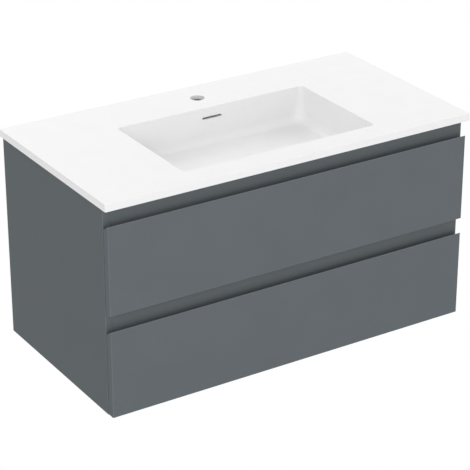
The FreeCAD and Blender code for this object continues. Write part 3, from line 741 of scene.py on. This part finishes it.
def makeCabinetRail(node, hand, look):
    # upright leg on the side panel, a tray, and a low lip on the tray's free edge
    low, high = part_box(node)
    half = look["sheet"] / 2
    wall, lip = high.x - half, low.x + half
    if hand == "left":
        wall, lip = low.x + half, high.x - half
    section = [(wall, low.y, high.z), (wall, low.y, low.z + half), (lip, low.y, low.z + half),
               (lip, low.y, low.z + look["lip"])]
    folded = foldStrip(node, node, section, (0, high.y - low.y, 0), look)
    spacing = (high.y - low.y) / look["slots"]
    start = (wall, low.y + spacing / 2, low.z + look["slotRise"])
    addPiece(pieceName(node), punchSlots(folded, node, look, start, spacing), node, look["sharp"])


def makeDrawerRail(node, look):
    # an inverted U under the drawer's floor
    low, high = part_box(node)
    half = look["sheet"] / 2
    section = [(low.x + half, low.y, low.z), (low.x + half, low.y, high.z - half),
               (high.x - half, low.y, high.z - half), (high.x - half, low.y, low.z)]
    folded = foldStrip(node, node, section, (0, high.y - low.y, 0), look)
    addPiece(pieceName(node), folded, node, look["sharp"])


for level in ("upper", "lower"):
    for hand in ("left", "right"):
        makeCabinetRail(level + "_" + hand + "_cabinet_rail", hand, runnerLook)
        makeDrawerRail(level + "_" + hand + "_drawer_rail", runnerLook)
print("runner rails folded and punched")


# Turned shapes: one tree turns an outline round its axis and sets a copy at every point

sliver = 0.001 * mm             # radius of the ring that stands for the axis


def buildTurnedTree():
    tree, given = newTree("turned", {
        "Points": "Object", "Steps": "Int", "Material": "Material"})
    ring = addNode(tree, "GeometryNodeCurvePrimitiveCircle", {"Radius": sliver},
                   {"Resolution": given["Steps"]})
    outline = addNode(tree, "GeometryNodeMeshToCurve", links={"Mesh": given["Geometry"]})
    turned = addNode(tree, "GeometryNodeCurveToMesh", links={
        "Curve": ring.outputs["Curve"], "Profile Curve": outline.outputs["Curve"]})
    closed = addNode(tree, "GeometryNodeMergeByDistance", {"Distance": 4 * sliver},
                     {"Geometry": turned.outputs["Mesh"]})
    places = addNode(tree, "GeometryNodeObjectInfo", {"transform_space": "ORIGINAL"},
                     {"Object": given["Points"]})
    facing = addNode(tree, "GeometryNodeInputNamedAttribute",
                     {"data_type": "FLOAT_VECTOR", "Name": "facing"})
    turn = addNode(tree, "FunctionNodeAlignRotationToVector", {"axis": "Z"},
                   {"Vector": facing.outputs["Attribute"]})
    size = addNode(tree, "GeometryNodeInputNamedAttribute",
                   {"data_type": "FLOAT_VECTOR", "Name": "size"})
    placed = addNode(tree, "GeometryNodeInstanceOnPoints", links={
        "Points": places.outputs["Geometry"], "Instance": closed.outputs["Geometry"],
        "Rotation": turn.outputs["Rotation"], "Scale": size.outputs["Attribute"]})
    closeTree(tree, placed.outputs["Instances"], given["Material"])
    return tree


def turnPieces(name, node, look):
    # the outline runs from pole to pole as (radius, height), in shares of each solid's own size
    boxes = solidBoxes(node)
    way = look["way"]
    points = bpy.data.meshes.new(name)
    points.from_pydata([(low + high) / 2 for low, high in boxes], [], [])
    facings = points.attributes.new("facing", "FLOAT_VECTOR", "POINT")
    sizes = points.attributes.new("size", "FLOAT_VECTOR", "POINT")
    for index, (low, high) in enumerate(boxes):
        length = abs(way.dot(high - low))
        radius = (high.z - low.z) / 2
        facings.data[index].vector = way
        sizes.data[index].vector = (radius, radius, length)
    holder = addHolder(name + "Places", points)
    line = bpy.data.meshes.new(name + "Outline")
    line.from_pydata([(radius, -height, 0) for radius, height in look["outline"]],
                     [(i, i + 1) for i in range(len(look["outline"]) - 1)], [])
    made = runTree(turnedTree, line, {"Points": holder, "Steps": look["steps"],
                                      "Material": finishes[slotOf[node]]})
    bpy.data.objects.remove(holder)
    turnOutwards(made)
    addPiece(name, made, node, look["sharp"])
    return len(boxes)


turnedTree = buildTurnedTree()
rollerLook = {
    "way": Vector((1, 0, 0)), "steps": 28, "sharp": 30.0,
    # hub on the axle, a dished web, and a tread with eased corners
    "outline": [
        (0, -0.5), (0.26, -0.5), (0.26, -0.40), (0.66, -0.40), (0.70, -0.5), (0.93, -0.5),
        (0.98, -0.48), (1.0, -0.44), (1.0, 0.44), (0.98, 0.48), (0.93, 0.5), (0.70, 0.5),
        (0.66, 0.40), (0.26, 0.40), (0.26, 0.5), (0, 0.5)],
}
bumperLook = {
    "way": Vector((0, -1, 0)), "steps": 24, "sharp": 30.0,
    # flat side on the side panel's front edge, low dome towards the drawer front
    "outline": [(0, -0.5), (1.0, -0.5), (1.0, -0.2), (0.96, 0.1), (0.84, 0.32), (0.6, 0.45), (0, 0.5)],
}
count = 0
for level in ("upper", "lower"):
    for hand in ("left", "right"):
        node = level + "_" + hand + "_rollers"
        count += turnPieces(pieceName(node), node, rollerLook)
count += turnPieces("frontBumpers", "front_bumpers", bumperLook)
print("turned pieces:", count)


# Drawer boards and side panels keep their CAD shape and get an eased edge

def easeEdges(node, look):
    shape = mergedCopy(node)
    mesh = bpy.data.meshes.new(pieceName(node))
    shape.to_mesh(mesh)
    shape.free()
    piece = addPiece(pieceName(node), mesh, node, look["sharp"])
    ease = piece.modifiers.new("easedEdge", "BEVEL")
    ease.width = look["width"]
    ease.segments = look["segments"]
    ease.limit_method = "ANGLE"
    ease.angle_limit = math.radians(look["sharp"])
    ease.harden_normals = True


eased = {
    "boards": {"width": 0.5 * mm, "segments": 2, "sharp": 40.0},
    "panels": {"width": 0.8 * mm, "segments": 3, "sharp": 40.0},
}
easedNodes = {
    "boards": ["upper_bottom", "lower_bottom",
               "upper_back_left", "upper_back_right", "lower_back",
               "siphon_wall_front", "siphon_wall_left", "siphon_wall_right",
               "upper_side_left", "upper_side_right", "lower_side_left", "lower_side_right"],
    "panels": ["side_panel_left", "side_panel_right"],
}
for kind, members in easedNodes.items():
    for node in members:
        easeEdges(node, eased[kind])
    print("edges eased:", len(members), kind)


# Camera, light and floor

camera = {
    "place": (-2.3202, -3.6609, 2.2775),        # metres
    "heading": -0.5638,         # radians, from +Y towards +X
    "tilt": -0.4401,            # radians, looking down
    "lens": 150.17,
    "sensor": 36.0,             # millimetres, as the lens is
}


def addCamera():
    data = bpy.data.cameras.new("camera")
    data.lens = camera["lens"]
    data.sensor_width = camera["sensor"]
    obj = bpy.data.objects.new("camera", data)
    obj.location = camera["place"]
    obj.rotation_euler = (math.pi / 2 + camera["tilt"], 0, camera["heading"])
    bpy.context.scene.collection.objects.link(obj)
    bpy.context.scene.camera = obj


studio = {
    "ambient": 0.60,
    "aim": (0.0, 0.0, 0.25),    # the spot that every softbox points at
    "softboxes": {
        # place and size in metres, power in watts
        "frontLow": {"place": (0.6, -4.6, 0.3), "size": 2.6, "power": 45.0},
        "frontLeftHigh": {"place": (-3.2, -3.2, 3.0), "size": 2.6, "power": 72.0},
        "backHigh": {"place": (0.0, 3.2, 3.4), "size": 2.6, "power": 49.0},
        "rightHigh": {"place": (3.6, 0.6, 3.0), "size": 2.6, "power": 51.0},
    },
    "floorDrop": 0.42,          # from the cabinet's underside down to the floor
    "floorSize": 24.0,
    "floor": "#EDEDED",
}


def addSoftbox(name, look):
    data = bpy.data.lights.new(name, "AREA")
    data.shape = "SQUARE"
    data.size = look["size"]
    data.energy = look["power"]
    obj = bpy.data.objects.new(name, data)
    obj.location = look["place"]
    towards = Vector(studio["aim"]) - obj.location
    obj.rotation_euler = towards.to_track_quat("-Z", "Y").to_euler()
    bpy.context.scene.collection.objects.link(obj)


def seenDirectly(tree):
    # 1 for rays that show the background itself: straight from the camera, in gloss or through glass
    path = addNode(tree, "ShaderNodeLightPath")
    either = addNode(tree, "ShaderNodeMath", {"operation": "MAXIMUM"},
                     {0: path.outputs["Is Camera Ray"], 1: path.outputs["Is Glossy Ray"]})
    anyOfThem = addNode(tree, "ShaderNodeMath", {"operation": "MAXIMUM"},
                        {0: either.outputs["Value"], 1: path.outputs["Is Transmission Ray"]})
    return anyOfThem.outputs["Value"]


white = [1.0, 1.0, 1.0, 1.0]


def addWorld():
    # an even glow for light, and plain white wherever the background itself shows
    world = bpy.data.worlds.new("studio")
    bpy.context.scene.world = world
    world.use_nodes = True
    tree = world.node_tree
    tree.nodes.clear()
    ambient = addNode(tree, "ShaderNodeBackground", {"Color": white, "Strength": studio["ambient"]})
    shown = addNode(tree, "ShaderNodeBackground", {"Color": white, "Strength": 1.0})
    mix = addNode(tree, "ShaderNodeMixShader", links={
        0: seenDirectly(tree), 1: ambient.outputs["Background"], 2: shown.outputs["Background"]})
    addNode(tree, "ShaderNodeOutputWorld", links={"Surface": mix.outputs["Shader"]})


def addFloor():
    # plain pale floor well below the hung cabinet
    half = studio["floorSize"] / 2
    mesh = bpy.data.meshes.new("floor")
    z = cadBox[0].z - studio["floorDrop"]
    corners = [(-half, -half, z), (half, -half, z), (half, half, z), (-half, half, z)]
    mesh.from_pydata(corners, [], [(0, 1, 2, 3)])
    floor = bpy.data.objects.new("floor", mesh)
    bpy.context.scene.collection.objects.link(floor)
    mat = bpy.data.materials.new("paleFloor")
    mat.use_nodes = True
    tree = mat.node_tree
    tree.nodes.clear()
    paint = addNode(tree, "ShaderNodeBsdfDiffuse", {"Color": toLinear(studio["floor"])})
    glow = addNode(tree, "ShaderNodeEmission", {"Color": white, "Strength": 1.0})
    mix = addNode(tree, "ShaderNodeMixShader", links={
        0: seenDirectly(tree), 1: paint.outputs["BSDF"], 2: glow.outputs["Emission"]})
    addNode(tree, "ShaderNodeOutputMaterial", links={"Surface": mix.outputs["Shader"]})
    floor.data.materials.append(mat)


addCamera()
for name, look in studio["softboxes"].items():
    addSoftbox(name, look)
addWorld()
addFloor()
bpy.context.scene.view_settings.view_transform = "Standard"
print("camera, light and floor set")
